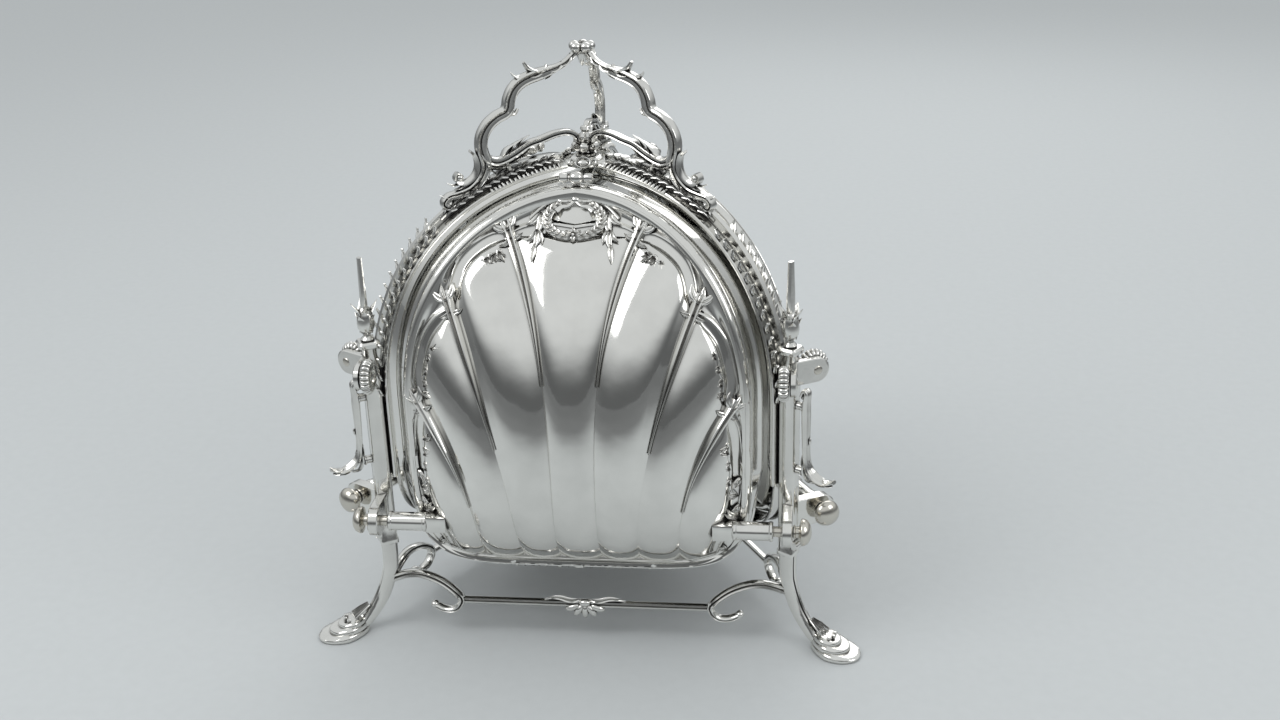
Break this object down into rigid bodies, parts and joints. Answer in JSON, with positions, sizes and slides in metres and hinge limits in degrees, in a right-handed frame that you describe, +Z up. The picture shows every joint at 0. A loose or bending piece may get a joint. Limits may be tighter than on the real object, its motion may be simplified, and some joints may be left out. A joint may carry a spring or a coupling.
{
  "type": "folding biscuit box",
  "caption": "Silver-plated folding biscuit box on hoof feet: shell-embossed bowls fold down from a domed frame with a scrolled carrying handle and hinged inner lids.",
  "frame": {"origin": "on the floor, in the middle of the bounding box; the box's own upright axis lies a little in front of it", "axes": "+Z up, -Y towards the front bowl, +X to the right of the front bowl"},
  "size_m": [0.2698, 0.2418, 0.283],
  "materials": {
    "silver_plate": "polished silver plate",
    "cast_silver": "cast and chased, polished with darkened recesses",
    "pin_metal": "plated pins and rivets, worn"
  },
  "bodies": {
    "frame": {"front_left_hinge_pin": "silver_plate", "front_right_hinge_pin": "silver_plate", "right_left_hinge_pin": "silver_plate", "right_right_hinge_pin": "silver_plate", "left_left_hinge_pin": "silver_plate", "left_right_hinge_pin": "silver_plate", "front_left_roundel": "cast_silver", "front_right_roundel": "cast_silver", "right_left_roundel": "cast_silver", "right_right_roundel": "cast_silver", "left_left_roundel": "cast_silver", "left_right_roundel": "cast_silver", "front_left_rivet": "pin_metal", "front_right_rivet": "pin_metal", "right_left_rivet": "pin_metal", "right_right_rivet": "pin_metal", "left_left_rivet": "pin_metal", "left_right_rivet": "pin_metal", "front_stretcher": "cast_silver", "right_stretcher": "cast_silver", "left_stretcher": "cast_silver", "front_right_post": "cast_silver", "rear_post": "cast_silver", "front_left_post": "cast_silver", "front_right_post_finial": "cast_silver", "rear_post_finial": "cast_silver", "front_left_post_finial": "cast_silver", "front_right_leaf_bracket": "cast_silver", "rear_leaf_bracket": "cast_silver", "front_left_leaf_bracket": "cast_silver", "front_right_half_arch": "cast_silver", "rear_half_arch": "cast_silver", "front_left_half_arch": "cast_silver", "front_right_leg": "cast_silver", "rear_leg": "cast_silver", "front_left_leg": "cast_silver", "front_right_handle_arm": "cast_silver", "rear_handle_arm": "cast_silver", "front_left_handle_arm": "cast_silver", "crest_boss": "cast_silver", "handle_boss": "cast_silver", "handle_finial": "cast_silver"},
    "front_bowl": {"front_bowl": "silver_plate", "front_thumb_piece": "cast_silver", "front_lid_hinge_pin": "pin_metal"},
    "right_bowl": {"right_bowl": "silver_plate", "right_thumb_piece": "cast_silver", "right_lid_hinge_pin": "pin_metal"},
    "left_bowl": {"left_bowl": "silver_plate", "left_thumb_piece": "cast_silver", "left_lid_hinge_pin": "pin_metal"},
    "front_lid": {"front_lid": "silver_plate"},
    "right_lid": {"right_lid": "silver_plate"},
    "left_lid": {"left_lid": "silver_plate"}
  },
  "joints": [
    {"name": "front_bowl_fold", "type": "hinge", "parent": "frame", "child": "front_bowl", "pos_m": [0, -0.10707, 0.0674], "axis": [1, 0, 0], "range_deg": [0, 90]},
    {"name": "right_bowl_fold", "type": "hinge", "parent": "frame", "child": "right_bowl", "pos_m": [0.06409, 0.00393, 0.0674], "axis": [-0.5, 0.866, 0], "range_deg": [0, 90]},
    {"name": "left_bowl_fold", "type": "hinge", "parent": "frame", "child": "left_bowl", "pos_m": [-0.06409, 0.00393, 0.0674], "axis": [-0.5, -0.866, 0], "range_deg": [0, 90]},
    {"name": "front_lid_swing", "type": "hinge", "parent": "front_bowl", "child": "front_lid", "pos_m": [0, -0.09057, 0.055], "axis": [-1, 0, 0], "range_deg": [0, 14]},
    {"name": "right_lid_swing", "type": "hinge", "parent": "right_bowl", "child": "right_lid", "pos_m": [0.0498, -0.00432, 0.055], "axis": [0.5, -0.866, 0], "range_deg": [0, 14]},
    {"name": "left_lid_swing", "type": "hinge", "parent": "left_bowl", "child": "left_lid", "pos_m": [-0.0498, -0.00432, 0.055], "axis": [0.5, 0.866, 0], "range_deg": [0, 14]}
  ]
}
